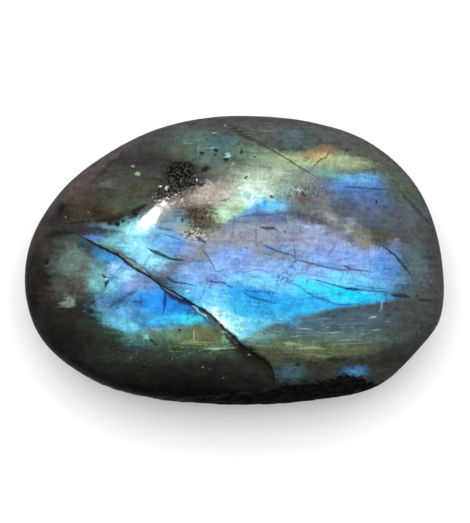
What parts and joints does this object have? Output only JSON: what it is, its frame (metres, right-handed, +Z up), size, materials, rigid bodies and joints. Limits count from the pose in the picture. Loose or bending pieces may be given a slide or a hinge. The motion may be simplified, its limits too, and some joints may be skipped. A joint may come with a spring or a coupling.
{
  "type": "polished labradorite palm stone",
  "caption": "Smooth oval pebble of dark grey labradorite, ground and polished all over, with blue and green flashes and a flat underside to rest on.",
  "frame": {"origin": "in the plane of the flat underside, below the middle of the stone's outline", "axes": "+X along the stone's length, towards its blunt end; +Y across it; +Z up"},
  "size_m": [0.0696, 0.0487, 0.025],
  "materials": {
    "labradorite": "high polish, with blue, cyan and green flash"
  },
  "bodies": {
    "root": {"stone": "labradorite"}
  },
  "joints": []
}
